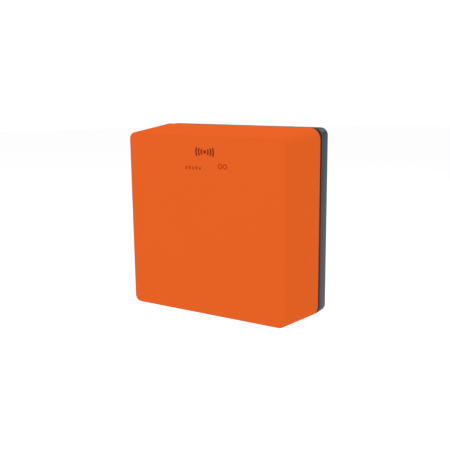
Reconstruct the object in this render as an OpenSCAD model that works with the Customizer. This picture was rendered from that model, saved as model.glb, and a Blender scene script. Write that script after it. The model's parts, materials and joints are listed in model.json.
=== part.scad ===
// Emergency position beacon in its weatherproof bulkhead housing.
// The origin is the centre of the wall face. The front faces -Y, +Z is up.

/* [Housing] */
// Width and height of the cover's front face
front_w = 200; // [190:1:220]
// Width and height of the cover at its rear rim
rim_w = 212; // [204:1:226]
// Width and height of the back shell
base_w = 210; // [202:1:224]
// Depth from the wall to the front face
total_d = 90; // [90:1:104]
// Depth of the back shell
base_d = 15.5; // [14:0.5:17]
// Gap that the gasket fills between the two shells
seam_gap = 5.5; // [4:0.5:6]
// Wall thickness of both shells
wall = 3; // [2.5:0.5:3.5]
// Spacing of the four wall fixing holes, both ways
fixing_pitch = 160; // [150:1:165]
// Radius of the wall fixing holes
fixing_r = 2.6; // [2:0.1:3]

/* [Hinge and latches] */
// Height of each hinge above and below the middle
hinge_z = 60; // [45:1:70]
// Outer radius of the hinge knuckles
knuckle_r = 4; // [3.5:0.1:4.2]
// Radius of the hinge pins
hinge_pin_r = 2; // [1.5:0.1:2.4]
// Distance of each latch from the middle
latch_x = 60; // [40:1:75]

/* [Beacon] */
// Width of the beacon's body
beacon_w = 84; // [80:1:84]
// Depth of the beacon's body
beacon_d = 60; // [56:1:60]
// Height of the beacon's body
beacon_h = 120; // [112:1:124]
// Wall thickness of the beacon's shells
beacon_wall = 2.5; // [2:0.1:3]
// Radius of the strobe dome
dome_r = 20; // [17:0.5:21]
// Radius of the two push buttons
button_r = 6; // [4:0.5:7]

/* [Hidden] */
$fn = 48;
fit = 0.05;
over = 1;
slice = 0.01;
rim_y = -base_d - seam_gap;
front_y = -total_d;
draft = (rim_w - front_w) / 2 / (rim_y - front_y);
rim_r = 13;
front_r = 7.5;
inner_front_r = 5;
edge_r = 1.2;
base_r = 8.5;
opening_w = 188;
opening_r = 7;
flange_t = 3;
gasket_w = 208;
gasket_r = 11;
gasket_in = 190;
gasket_in_r = 6;
relief_w = 54;
relief_r = 6;
relief_t = 0.7;
relief_at = 39;
pad_w = 56;
pad_h = 34;
pad_t = 6.5;
pad_r = 5;
pad_z = -42;

hinge_x = -110;
hinge_y = rim_y + seam_gap / 2;
leaf_h = 36;
knuckle_h = 12;
knuckle_gap = 0.3;
leaf_t = 2.4;
base_leaf_front = -13.5;
base_leaf_back = -2;
cover_leaf_front = -40;
cover_leaf_back = -24;
pin_cap_r = 3.2;
pin_cap_h = 1.5;
pin_h = 3 * knuckle_h + 2 * pin_cap_h;
screw_r = 1.5;
leaf_screw_head_r = 2.8;
leaf_screw_head_h = 1.4;
leaf_screw_h = 9;
hinge_screw_dz = 12;
base_screw_y = -7;
cover_screw_y = -32;

boss_r = 7;
latch_y = -8;
latch_boss_out = 5;
latch_boss_h = 14;
latch_pin_r = 2;
latch_pin_h = 17;
latch_hub_r = 8;
latch_arm_w = 12;
latch_head_r = 4.2;
latch_head_h = 1.95;
latch_top = -base_w / 2 - latch_boss_out - 0.1;
latch_t = 2.9;
latch_reach = 19.4;
lip_t = 3.1;
lip_h = 3.4;
lip_angle = 18;
rib_w = 3;
rib_h = 2.2;
catch_gap = 0.4;
catch_w = 12;
catch_t = 4.5;
catch_h = 7;

fixing_boss_h = 5;
grommet_r = 6.5;
grommet_t = 1.5;
vent_r = 3.2;
vent_head_r = 6.2;
vent_head_h = 3;
vent_nut_r = 4.6;
vent_nut_h = 2.5;

beacon_y = -43;
beacon_z = -70;
beacon_r = 20;
beacon_top = beacon_z + beacon_h;
beacon_front = beacon_y - beacon_d / 2;
beacon_back = beacon_y + beacon_d / 2;
flange_x = beacon_w / 2 + 4;
flange_half = 2;
flange_inset = 4;
beacon_screw_x = beacon_w / 2 + 1.7;
beacon_screw_zs = [-55, 35];
beacon_screw_r = 0.85;
beacon_screw_head_r = 1.7;
beacon_screw_head_h = 1.2;
seal_w = 2;
band_t = 0.4;
band_bottom = -46;
band_top = -34;
eye_z = -54;
eye_r = 5;
eye_hole_r = 3;
eye_t = 3;
contact_x = 14;
contact_z = -55;
contact_head_r = 4;
contact_pin_r = 2.5;
dome_x = 10;
dome_wall = 2;
dome_rise = 4;
dome_z = beacon_top + dome_rise;
dome_flange_w = 3;
dome_flange_t = 2.2;
dome_seal_t = 1;
led_at = 8.5;
led_r = 2.5;

plate_y = -6;
plate_x = 55;
plate_bottom = -76;
plate_top = 44;
shelf_x = 36;
shelf_front = -77;
shelf_top = beacon_z - 2;
shelf_t = 4;
shelf_slot_x = 24;
lip_x = 14;
shelf_lip_t = 3;
lip_top = beacon_z + 7;
pad_block = 14;
magnet_r = 6;
magnet_ring_r = 8;
magnet_z = -5;
keeper_x = 51;
keeper_r = 4.5;
keeper_t = 2.4;
keeper_reach = 7.5;
keeper_w = 7;
keeper_gap = 0.5;
keeper_pin_r = 1.5;
keeper_head_r = 3.2;
keeper_head_h = 1.8;
keeper_front = -45;
keeper_rib_t = 3;
keeper_rib_h = 28;
cradle_head_r = 3;
cradle_head_h = 2;
cradle_screws_at = [[-40, -62], [40, -62], [-40, 30], [40, 30]];

blade_t = 0.8;
blade_w = 10;
blade_root_x = -30;
blade_bend_r = 15;
blade_bend_z = 62;
blade_tip_z = -52;
blade_tip_x = blade_root_x - 2 * blade_bend_r;
boot_r = 8.5;
boot_flange_h = 2;
boot_h = 9;
clip_z = -50;
clip_h = 8;
clip_slot = 7;

slider_w = 24;
slider_h = 16;
slider_z = 10;
slider_back = beacon_front - 2;
slider_t = 2;
slider_ribs = 4;
slider_rib_t = 1.4;
slider_rib_step = 3.2;
rail_top = 42;
rail_out = 15.2;
rail_t = 3;
rail_lip_w = 5.2;
rail_lip_t = 1.2;
rail_front = beacon_front - 5.4;
rail_d = 6;
activate_z = 18;
test_z = -12;
button_front = beacon_front - 1.5;
cell_r = 13;
cell_h = 48;
cell_x = cell_r + 1.5;
cell_y = beacon_y + 8;
cell_gap = 0.3;
cell_tip_r = 3;
cell_tip_h = 2.5;
holder_z = beacon_z + 4.8;
holder_h = 36;
holder_wall = 2;
holder_floor = 2.3;
board_y = -63;
board_t = 1.6;
board_x = 30;
board_bottom = -17;
board_top = 44;
shield_t = 0.4;
shield_h = 3.5;
patch_w = 18;
patch_t = 4;
buzzer_r = 7;
buzzer_t = 6;
spring_dome_h = 3.4;
button_flange = 1.2;

orange = "#e76325";
slate = "#5b656f";
black = "#1d1e20";
steel = "#b9bcc0";

// Half the cover's outer width at depth y
function side(y) = rim_w / 2 - (rim_y - y) * draft;

// A rounded rectangle centred on the origin
module round_rect(w, h, r) {
    square([w - 2 * r, h], center = true);
    square([w, h - 2 * r], center = true);
    for (x = [-1, 1], y = [-1, 1])
        translate([x * (w / 2 - r), y * (h / 2 - r)])
            circle(r);
}

// A rounded square standing in the XZ plane, from depth y0 back to y1
module panel(w, r, y0, y1) {
    translate([0, y1, 0])
        rotate([90, 0, 0])
            linear_extrude(y1 - y0)
                round_rect(w, w, r);
}

// A cylinder along Y from y0 to y1
module rod_y(x, z, r, y0, y1) {
    translate([x, y1, z])
        rotate([90, 0, 0])
            cylinder(r = r, h = y1 - y0);
}

// A cylinder along X from x0 to x1
module rod_x(y, z, r, x0, x1) {
    translate([x0, y, z])
        rotate([0, 90, 0])
            cylinder(r = r, h = x1 - x0);
}

// A block given by its two corners
module block(a, b) {
    translate(a)
        cube(b - a);
}

// ---- housing ----

module back_shell() {
    color(slate)
        difference() {
            union() {
                difference() {
                    panel(base_w, base_r, -base_d, 0);
                    panel(base_w - 2 * wall, base_r - wall, -base_d + flange_t, -wall);
                    panel(opening_w, opening_r, -base_d - over, -base_d + flange_t + over);
                }
                for (x = [-1, 1], z = [-1, 1])
                    rod_y(x * fixing_pitch / 2, z * fixing_pitch / 2, boss_r, -wall - fixing_boss_h, -wall);
                for (x = [-1, 1])
                    translate([x * latch_x, latch_y, -base_w / 2 - latch_boss_out])
                        cylinder(r = boss_r, h = latch_boss_h);
            }
            for (x = [-1, 1], z = [-1, 1])
                rod_y(x * fixing_pitch / 2, z * fixing_pitch / 2, fixing_r, -base_d, over);
            for (x = [-1, 1])
                translate([x * latch_x, latch_y, -base_w / 2 - latch_boss_out - over])
                    cylinder(r = latch_pin_r + fit, h = latch_boss_h + 2 * over);
            for (s = [-1, 1], dz = [-1, 1])
                rod_x(base_screw_y, s * hinge_z + dz * hinge_screw_dz, screw_r + fit,
                    -base_w / 2 - over, -base_w / 2 + wall + over);
            for (p = cradle_screws_at)
                rod_y(p[0], p[1], screw_r + fit, -wall - over, -relief_t - 0.4);
            translate([0, -base_d / 2, -base_w / 2 - over])
                cylinder(r = vent_r + fit, h = wall + 2 * over);
            for (x = [-1, 1], z = [-1, 1])
                translate([x * relief_at, 0, z * relief_at])
                    panel(relief_w, relief_r, -relief_t, over);
        }
}

// The cover's outer form, larger all round by grow
module cover_form(grow) {
    hull() {
        panel(rim_w + 2 * grow, rim_r + grow, rim_y - slice, rim_y, $fn = 64);
        panel(front_w + 2 * edge_r * draft + 2 * grow, front_r + grow, front_y + edge_r,
            front_y + edge_r + slice, $fn = 64);
        panel(front_w - edge_r + 2 * grow, front_r + grow - edge_r / 2, front_y + 0.3 * edge_r,
            front_y + 0.3 * edge_r + slice, $fn = 64);
        panel(front_w - 2 * edge_r + 2 * grow, front_r + grow - edge_r, front_y,
            front_y + slice, $fn = 64);
    }
}

module cover_hollow() {
    inner_rim_w = 2 * side(rim_y - flange_t) - 2 * wall;
    inner_front_w = 2 * side(front_y + wall) - 2 * wall;
    hull() {
        panel(inner_rim_w, rim_r - wall, rim_y - flange_t - slice, rim_y - flange_t, $fn = 64);
        panel(inner_front_w, inner_front_r, front_y + wall, front_y + wall + slice, $fn = 64);
    }
}

module front_cover() {
    color(orange)
        difference() {
            cover_form(0);
            cover_hollow();
            panel(opening_w, opening_r, rim_y - flange_t - over, rim_y + over);
            for (s = [-1, 1], dz = [-1, 1])
                rod_x(cover_screw_y, s * hinge_z + dz * hinge_screw_dz, screw_r + fit,
                    -rim_w / 2 - over, -rim_w / 2 + 2 * wall + 2 * over);
        }
}

module cover_gasket() {
    color(black)
        difference() {
            panel(gasket_w, gasket_r, rim_y, -base_d - fit);
            panel(gasket_in, gasket_in_r, rim_y - over, -base_d + over);
        }
}

module cover_pad() {
    color("#3a3d41")
        translate([0, front_y + wall + pad_t, pad_z])
            rotate([90, 0, 0])
                linear_extrude(pad_t)
                    round_rect(pad_w, pad_h, pad_r);
}

// ---- hinges on the left side ----

module hinge_base_leaves() {
    x0 = -base_w / 2 - fit;
    color(black)
        for (s = [-1, 1])
            translate([0, 0, s * hinge_z])
                difference() {
                    union() {
                        block([x0 - leaf_t, base_leaf_front, -leaf_h / 2],
                            [x0, base_leaf_back, leaf_h / 2]);
                        for (t = [-1, 1])
                            translate([0, 0, t * knuckle_h - (knuckle_h - knuckle_gap) / 2])
                                linear_extrude(knuckle_h - knuckle_gap) {
                                    translate([hinge_x, hinge_y])
                                        circle(knuckle_r);
                                    polygon([[hinge_x - 3, hinge_y + 2.6], [x0 - leaf_t, -12],
                                        [x0, -12], [x0, -15], [x0 - 2, hinge_y + 1.5],
                                        [hinge_x, hinge_y]]);
                                }
                    }
                    translate([hinge_x, hinge_y, -leaf_h])
                        cylinder(r = hinge_pin_r, h = 2 * leaf_h);
                    for (dz = [-1, 1])
                        rod_x(base_screw_y, dz * hinge_screw_dz, screw_r + fit,
                            x0 - leaf_t - over, x0 + over);
                }
}

module hinge_cover_leaves() {
    lo_y = cover_leaf_front;
    hi_y = cover_leaf_back;
    color(black)
        for (s = [-1, 1])
            translate([0, 0, s * hinge_z])
                difference() {
                    union() {
                        translate([0, 0, -leaf_h / 2])
                            linear_extrude(leaf_h)
                                polygon([[-side(hi_y) - fit, hi_y], [-side(lo_y) - fit, lo_y],
                                    [-side(lo_y) - leaf_t, lo_y], [-side(hi_y) - leaf_t, hi_y]]);
                        translate([0, 0, -(knuckle_h - knuckle_gap) / 2])
                            linear_extrude(knuckle_h - knuckle_gap) {
                                translate([hinge_x, hinge_y])
                                    circle(knuckle_r);
                                polygon([[hinge_x - 3, hinge_y - 2.6], [-side(hi_y) - leaf_t, hi_y - 1],
                                    [-side(hi_y) - fit, hi_y - 1], [-side(rim_y) - fit, rim_y - 0.4],
                                    [hinge_x + 3, hinge_y - 1.5], [hinge_x, hinge_y]]);
                            }
                    }
                    translate([hinge_x, hinge_y, -leaf_h])
                        cylinder(r = hinge_pin_r + fit, h = 2 * leaf_h);
                    for (dz = [-1, 1])
                        rod_x(cover_screw_y, dz * hinge_screw_dz, screw_r + fit,
                            -rim_w / 2 - 2 * leaf_t, -rim_w / 2 + 2 * leaf_t);
                }
}

module hinge_pins() {
    color(steel)
        for (s = [-1, 1])
            translate([hinge_x, hinge_y, s * hinge_z - pin_h / 2]) {
                cylinder(r = hinge_pin_r, h = pin_h);
                cylinder(r = pin_cap_r, h = pin_cap_h);
                translate([0, 0, pin_h - pin_cap_h])
                    cylinder(r = pin_cap_r, h = pin_cap_h);
            }
}

// The four screws of a pair of leaves, at depth y, their heads resting on x
module leaf_screws(x, y) {
    color(steel)
        for (s = [-1, 1], dz = [-1, 1])
            translate([0, 0, s * hinge_z + dz * hinge_screw_dz]) {
                rod_x(y, 0, screw_r, x - 0.1, x + leaf_screw_h);
                rod_x(y, 0, leaf_screw_head_r, x - leaf_screw_head_h, x);
            }
}

module hinge_base_screws() {
    leaf_screws(-base_w / 2 - fit - leaf_t, base_screw_y);
}

module hinge_cover_screws() {
    leaf_screws(-side(cover_screw_y) - leaf_t - 0.25, cover_screw_y);
}

// ---- quarter-turn latches under the bottom edge ----

// A latch arm that points along +X from its pivot at the origin, its top face at z = 0
module latch_arm() {
    difference() {
        union() {
            translate([0, 0, -latch_t])
                linear_extrude(latch_t) {
                    circle(latch_hub_r);
                    translate([0, -latch_arm_w / 2])
                        square([latch_reach, latch_arm_w]);
                    intersection() {
                        circle(latch_reach + lip_t);
                        translate([latch_reach - 2, -latch_arm_w / 2 - 1])
                            square([2 * lip_t, latch_arm_w + 2]);
                    }
                }
            translate([0, 0, -latch_t])
                rotate([0, 0, -lip_angle])
                    rotate_extrude(angle = 2 * lip_angle)
                        translate([latch_reach, 0])
                            square([lip_t, latch_t + lip_h]);
            translate([latch_arm_w / 2, -rib_w / 2, -latch_t - rib_h])
                cube([latch_reach - latch_arm_w / 2 + 0.6, rib_w, rib_h + 0.2]);
        }
        translate([0, 0, -latch_t - rib_h])
            cylinder(r = latch_pin_r + fit, h = latch_t + rib_h + over);
    }
}

module latch_right() {
    color(black)
        translate([latch_x, latch_y, latch_top])
            latch_arm();
}

module latch_left() {
    color(black)
        translate([-latch_x, latch_y, latch_top])
            rotate([0, 0, 180])
                latch_arm();
}

module latch_pivots() {
    bottom = latch_top - latch_t;
    color(steel)
        for (x = [-1, 1])
            translate([x * latch_x, latch_y, bottom]) {
                cylinder(r = latch_pin_r, h = latch_pin_h);
                translate([0, 0, -latch_head_h - fit])
                    cylinder(r = latch_head_r, h = latch_head_h);
                translate([0, 0, -latch_head_h / 2])
                    cylinder(r = latch_pin_r, h = latch_head_h);
            }
}

module latch_catches() {
    color(black)
        for (x = [-1, 1])
            difference() {
                translate([x * latch_x, latch_y, latch_top + 0.5])
                    linear_extrude(catch_h)
                        intersection() {
                            circle(latch_reach - catch_gap);
                            translate([-catch_w / 2, -latch_reach])
                                square([catch_w, catch_t]);
                        }
                cover_form(fit);
            }
}

// ---- vent and wall fixing ----

module vent_plug() {
    color(black)
        translate([0, -base_d / 2, -base_w / 2]) {
            translate([0, 0, -vent_head_h])
                cylinder(r = vent_head_r, h = vent_head_h);
            translate([0, 0, -vent_head_h / 2])
                cylinder(r = vent_r, h = vent_head_h / 2 + wall + vent_nut_h + 1.5);
        }
}

module vent_nut() {
    color(steel)
        translate([0, -base_d / 2, -base_w / 2 + wall + fit])
            difference() {
                cylinder(r = vent_nut_r, h = vent_nut_h, $fn = 6);
                translate([0, 0, -over])
                    cylinder(r = vent_r + fit, h = vent_nut_h + 2 * over);
            }
}

module fixing_grommets() {
    top = -wall - fixing_boss_h;
    color(black)
        for (x = [-1, 1], z = [-1, 1])
            difference() {
                rod_y(x * fixing_pitch / 2, z * fixing_pitch / 2, grommet_r, top - grommet_t, top);
                rod_y(x * fixing_pitch / 2, z * fixing_pitch / 2, fixing_r + 2 * fit,
                    top - grommet_t - over, top + over);
            }
}

// ---- cradle ----

module cradle() {
    color("#2b2e32")
        difference() {
            union() {
                block([-plate_x, plate_y, plate_bottom], [plate_x, -wall, plate_top]);
                block([-shelf_x, shelf_front, shelf_top - shelf_t], [shelf_x, plate_y, shelf_top]);
                block([-lip_x, shelf_front, shelf_top - shelf_t],
                    [lip_x, shelf_front + shelf_lip_t, lip_top]);
                for (x = [-1, 1]) {
                    translate([x * (keeper_x - keeper_gap) - keeper_rib_t / 2, keeper_front + 4,
                        -keeper_rib_h / 2])
                        cube([keeper_rib_t, plate_y - keeper_front - 3, keeper_rib_h]);
                    rod_y(x * keeper_x, 0, keeper_r, keeper_front, plate_y);
                }
                rod_y(0, magnet_z, magnet_ring_r, plate_y - 5, plate_y);
            }
            rod_y(0, magnet_z, magnet_r + fit, plate_y - 5 - over, plate_y);
            for (x = [-1, 1])
                rod_y(x * keeper_x, 0, keeper_pin_r, keeper_front - over, keeper_front + 12);
            for (p = cradle_screws_at)
                rod_y(p[0], p[1], screw_r + fit, plate_y - over, 0);
            block([-shelf_slot_x, -60, shelf_top - shelf_t - over], [shelf_slot_x, -26, shelf_top + over]);
        }
}

module cradle_screws() {
    color(steel)
        for (p = cradle_screws_at) {
            rod_y(p[0], p[1], cradle_head_r, plate_y - cradle_head_h, plate_y);
            rod_y(p[0], p[1], screw_r, plate_y - cradle_head_h / 2, -relief_t - 0.4 - fit);
        }
}

module cradle_pads() {
    color(black) {
        for (x = [-13, 13], z = [-66, 12])
            translate([x - pad_block / 2, beacon_back + 2 * fit, z])
                cube([pad_block, plate_y - beacon_back - 2 * fit, pad_block]);
        block([-shelf_slot_x, -25, shelf_top], [shelf_slot_x, -17, beacon_z - fit]);
        block([-20, -70, shelf_top], [20, -61, beacon_z - fit]);
    }
}

module inhibit_magnet() {
    color(steel)
        rod_y(0, magnet_z, magnet_r, plate_y - 6, plate_y);
}

// A keeper that points along +X from its pivot at the origin, lying in the XZ plane
module keeper_arm() {
    difference() {
        rotate([90, 0, 0])
            linear_extrude(keeper_t) {
                circle(keeper_r);
                translate([0, -keeper_w / 2])
                    square([keeper_reach, keeper_w]);
            }
        rod_y(0, 0, keeper_pin_r + fit, -keeper_t - over, over);
    }
}

module keeper_left() {
    color(black)
        translate([-keeper_x, keeper_front - keeper_gap, 0])
            keeper_arm();
}

module keeper_right() {
    color(black)
        translate([keeper_x, keeper_front - keeper_gap, 0])
            rotate([0, 180, 0])
                keeper_arm();
}

module keeper_screws() {
    head_y = keeper_front - keeper_gap - keeper_t - 2 * fit;
    color(steel)
        for (x = [-1, 1]) {
            rod_y(x * keeper_x, 0, keeper_head_r, head_y - keeper_head_h, head_y);
            rod_y(x * keeper_x, 0, keeper_pin_r, head_y - keeper_head_h / 2, keeper_front + 10);
            difference() {
                rod_y(x * keeper_x, 0, 2.6, keeper_front - keeper_gap + 2 * fit, keeper_front);
                rod_y(x * keeper_x, 0, keeper_pin_r - 2 * fit, keeper_front - over, keeper_front + over);
            }
        }
}

// ---- beacon ----

module body_prism(grow, z0, z1) {
    translate([0, beacon_y, z0])
        linear_extrude(z1 - z0)
            round_rect(beacon_w + 2 * grow, beacon_d + 2 * grow, beacon_r + grow);
}

module beacon_shell(front) {
    y0 = front ? beacon_front - over : beacon_y;
    y1 = front ? beacon_y : beacon_back + over;
    reach = flange_x + over;
    difference() {
        intersection() {
            union() {
                body_prism(0, beacon_z, beacon_top);
                block([-flange_x, beacon_y - flange_half, beacon_z + flange_inset],
                    [flange_x, beacon_y + flange_half, beacon_top - flange_inset]);
            }
            block([-reach, y0, beacon_z - over], [reach, y1, beacon_top + over]);
        }
        body_prism(-beacon_wall, beacon_z + beacon_wall, beacon_top - beacon_wall);
        translate([dome_x, beacon_y, beacon_top - 5])
            cylinder(r = 12, h = 10);
        for (x = [-1, 1], z = beacon_screw_zs)
            rod_y(x * beacon_screw_x, z, beacon_screw_r + fit, beacon_y - 5, beacon_y + 5);
    }
}

module beacon_front_shell() {
    color("#f0a21e")
        difference() {
            union() {
                beacon_shell(true);
                for (x = [-1, 1]) {
                    translate([x * (rail_out - rail_t / 2) - rail_t / 2, rail_front, slider_z - 2])
                        cube([rail_t, rail_d, rail_top - slider_z + 2]);
                    translate([x * (rail_out - rail_lip_w / 2) - rail_lip_w / 2, rail_front, slider_z - 2])
                        cube([rail_lip_w, rail_lip_t, rail_top - slider_z + 2]);
                }
                translate([-rail_out, rail_front, slider_z - 4])
                    cube([2 * rail_out, rail_d, 3.9]);
                translate([-rail_out, rail_front, rail_top - 1.8])
                    cube([2 * rail_out, rail_d, 2]);
            }
            for (z = [activate_z, test_z])
                rod_y(0, z, button_r + fit, beacon_front - over, beacon_front + beacon_wall + over);
            for (x = [-1, 1])
                rod_y(x * contact_x, contact_z, contact_pin_r + fit, beacon_front - over,
                    beacon_front + beacon_wall + over);
        }
}

module beacon_rear_shell() {
    color("#f0a21e")
        beacon_shell(false);
}

module beacon_seal() {
    outer_w = beacon_w - 2 * beacon_wall - 0.1;
    outer_h = beacon_h - 2 * beacon_wall - 0.1;
    color(black)
        translate([0, beacon_y + seal_w / 2, beacon_z + beacon_h / 2])
            rotate([90, 0, 0])
                linear_extrude(seal_w)
                    difference() {
                        round_rect(outer_w, outer_h, 2);
                        round_rect(outer_w - 2 * seal_w, outer_h - 2 * seal_w, 2);
                    }
}

module beacon_screws() {
    head_y = beacon_y - flange_half;
    color(steel)
        for (x = [-1, 1], z = beacon_screw_zs) {
            rod_y(x * beacon_screw_x, z, beacon_screw_head_r, head_y - beacon_screw_head_h, head_y);
            rod_y(x * beacon_screw_x, z, beacon_screw_r, head_y - 0.5, beacon_y + flange_half);
        }
}

module strobe_dome() {
    color([0.95, 0.97, 1, 0.4])
        translate([dome_x, beacon_y, dome_z])
            difference() {
                union() {
                    intersection() {
                        sphere(dome_r);
                        translate([-dome_r, -dome_r, dome_seal_t - dome_rise])
                            cube(2 * [dome_r, dome_r, dome_r]);
                    }
                    translate([0, 0, dome_seal_t - dome_rise])
                        cylinder(r = dome_r + dome_flange_w, h = dome_flange_t);
                }
                sphere(dome_r - dome_wall);
                translate([0, 0, -dome_rise])
                    cylinder(r = dome_r - dome_wall - 1, h = dome_rise);
            }
}

module dome_seal() {
    color(black)
        translate([dome_x, beacon_y, beacon_top])
            difference() {
                cylinder(r = dome_r + 2.5, h = dome_seal_t);
                translate([0, 0, -over])
                    cylinder(r = dome_r - dome_wall, h = dome_seal_t + 2 * over);
            }
}

module led_board() {
    color("#1f5c38")
        translate([dome_x, beacon_y, beacon_top + 2 * fit])
            cylinder(r = dome_r - 2 * dome_wall, h = board_t);
}

module strobe_leds() {
    color("#f6f1d8")
        for (a = [0:90:270])
            translate([dome_x, beacon_y, beacon_top + 2 * fit + board_t])
                rotate([0, 0, a])
                    translate([led_at, 0, 0]) {
                        cylinder(r = led_r, h = 1.2);
                        translate([0, 0, 1])
                            cylinder(r1 = 1.9, r2 = 1.2, h = 1.4);
                    }
}

module main_board() {
    color("#1f5c38")
        block([-board_x, board_y - board_t, board_bottom], [board_x, board_y, board_top]);
}

module rf_shield() {
    color(steel)
        difference() {
            block([-26, board_y, 6], [2, board_y + shield_h, 34]);
            block([-26 + shield_t, board_y - over, 6 + shield_t],
                [2 - shield_t, board_y + shield_h - shield_t, 34 - shield_t]);
        }
}

module gnss_antenna() {
    color("#cdbb98") {
        block([8, board_y, 18], [8 + patch_w, board_y + patch_t, 18 + patch_w]);
        rod_y(8 + patch_w / 2, 18 + patch_w / 2, 1, board_y + patch_t - 0.1, board_y + patch_t + 0.6);
    }
}

module battery_cells() {
    color("#3c6fae")
        for (x = [-1, 1])
            translate([x * cell_x, cell_y, holder_z + holder_floor + 2 * fit]) {
                cylinder(r = cell_r, h = cell_h);
                translate([0, 0, cell_h - 1])
                    cylinder(r = cell_tip_r, h = cell_tip_h);
            }
}

module battery_holder() {
    color("#2b2e32")
        difference() {
            block([-cell_x - cell_r - holder_wall, cell_y - cell_r - holder_wall, holder_z],
                [cell_x + cell_r + holder_wall, cell_y + cell_r + holder_wall, holder_z + holder_h]);
            for (x = [-1, 1])
                translate([x * cell_x, cell_y, holder_z + holder_floor])
                    cylinder(r = cell_r + cell_gap, h = cell_h);
        }
}

module buzzer() {
    color(black)
        difference() {
            rod_y(17, 2, buzzer_r, board_y, board_y + buzzer_t);
            rod_y(17, 2, 1.2, board_y + buzzer_t - 2, board_y + buzzer_t + over);
        }
}

module water_contacts() {
    color("#c9a227")
        for (x = [-1, 1]) {
            rod_y(x * contact_x, contact_z, contact_head_r, beacon_front - 1.3, beacon_front);
            rod_y(x * contact_x, contact_z, contact_pin_r, beacon_front - 0.8, beacon_front + 6);
        }
}

module reflective_bands() {
    color("#dfe3e6")
        difference() {
            body_prism(band_t, band_bottom, band_top);
            body_prism(band_t / 20, band_bottom - over, band_top + over);
            block([-flange_x, beacon_y - flange_half - 2 * fit, band_bottom - over],
                [flange_x, beacon_y + flange_half + 2 * fit, band_top + over]);
        }
}

module antenna_boot() {
    color(black)
        difference() {
            translate([blade_root_x, beacon_y, beacon_top])
                union() {
                    cylinder(r = boot_r, h = boot_flange_h);
                    cylinder(r1 = boot_r - 1, r2 = boot_r - 2.5, h = boot_h);
                }
            block([blade_root_x - blade_t / 2, beacon_y - blade_w / 2, beacon_top + 1],
                [blade_root_x + blade_t / 2, beacon_y + blade_w / 2, beacon_top + boot_h + over]);
        }
}

module antenna_blade() {
    half = blade_t / 2;
    y0 = beacon_y - blade_w / 2;
    y1 = beacon_y + blade_w / 2;
    color(steel) {
        block([blade_root_x - half, y0, beacon_top + 1], [blade_root_x + half, y1, blade_bend_z]);
        block([blade_tip_x - half, y0, blade_tip_z], [blade_tip_x + half, y1, blade_bend_z]);
        translate([blade_root_x - blade_bend_r, beacon_y, blade_bend_z])
            rotate([90, 0, 0])
                rotate_extrude(angle = 180)
                    translate([blade_bend_r - half, -blade_w / 2])
                        square([blade_t, blade_w]);
    }
}

module antenna_clip() {
    low = clip_z - over;
    top = clip_z + clip_h + over;
    slot_x = (blade_t + fit) / 2;
    slot_y = (blade_w + fit) / 2;
    color(black)
        difference() {
            block([blade_tip_x - 3, beacon_y - 7, clip_z], [-flange_x, beacon_y + 7, clip_z + clip_h]);
            block([blade_tip_x - slot_x, beacon_y - slot_y, low],
                [blade_tip_x + slot_x, beacon_y + slot_y, top]);
            block([blade_tip_x - 4, beacon_y - clip_slot / 2, low],
                [blade_tip_x, beacon_y + clip_slot / 2, top]);
        }
}

module lanyard_eye() {
    color(steel)
        translate([flange_x, beacon_y + eye_t / 2, eye_z])
            rotate([90, 0, 0])
                linear_extrude(eye_t)
                    difference() {
                        union() {
                            translate([0, -eye_r])
                                square([eye_r + 1, 2 * eye_r]);
                            translate([eye_r + 1, 0])
                                circle(eye_r);
                        }
                        translate([eye_r + 0.5, 0])
                            circle(eye_hole_r);
                    }
}

// ---- controls on the beacon's front ----

module arming_slider() {
    color("#d8261c") {
        block([-slider_w / 2 + 0.1, slider_back - slider_t, slider_z],
            [slider_w / 2 - 0.1, slider_back, slider_z + slider_h]);
        for (i = [0:slider_ribs - 1])
            translate([-slider_w / 3, slider_back - slider_t - 1.2, slider_z + 2.4 + i * slider_rib_step])
                cube([slider_w / 1.5, slider_rib_t, slider_rib_t]);
    }
}

module push_button(z) {
    rod_y(0, z, button_r, button_front, beacon_front + 5);
    rod_y(0, z, button_r + button_flange, beacon_front + beacon_wall + 2 * fit,
        beacon_front + beacon_wall + 1.3);
}

module activate_button() {
    color("#d8261c")
        push_button(activate_z);
}

module test_button() {
    color("#e9edf0")
        push_button(test_z);
}

// A silicone spring dome between a button and the board
module spring_dome(z) {
    y1 = board_y - board_t;
    translate([0, y1, z])
        rotate([90, 0, 0])
            difference() {
                cylinder(r1 = 5, r2 = 3, h = spring_dome_h);
                translate([0, 0, -over])
                    cylinder(r = 1.5, h = spring_dome_h + 2 * over);
            }
}

module activate_dome() {
    color("#9aa0a6")
        spring_dome(activate_z);
}

module test_dome() {
    color("#9aa0a6")
        spring_dome(test_z);
}

back_shell();
front_cover();
cover_gasket();
cover_pad();
hinge_base_leaves();
hinge_cover_leaves();
hinge_pins();
hinge_base_screws();
hinge_cover_screws();
latch_left();
latch_right();
latch_pivots();
latch_catches();
vent_plug();
vent_nut();
fixing_grommets();
cradle();
cradle_screws();
cradle_pads();
inhibit_magnet();
keeper_left();
keeper_right();
keeper_screws();
beacon_front_shell();
beacon_rear_shell();
beacon_seal();
beacon_screws();
strobe_dome();
dome_seal();
led_board();
strobe_leds();
main_board();
rf_shield();
gnss_antenna();
battery_cells();
battery_holder();
buzzer();
water_contacts();
reflective_bands();
antenna_boot();
antenna_blade();
antenna_clip();
lanyard_eye();
arming_slider();
activate_button();
activate_dome();
test_button();
test_dome();
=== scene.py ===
"""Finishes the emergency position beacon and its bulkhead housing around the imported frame.

Every piece is built in metres in the frame's own axes: the origin is on the wall face, the front faces -Y
and +Z is up.
"""

import json
import math

import bmesh
import bpy
from bpy.props import FloatProperty, FloatVectorProperty, IntProperty, PointerProperty
from mathutils import Matrix, Vector


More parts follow.
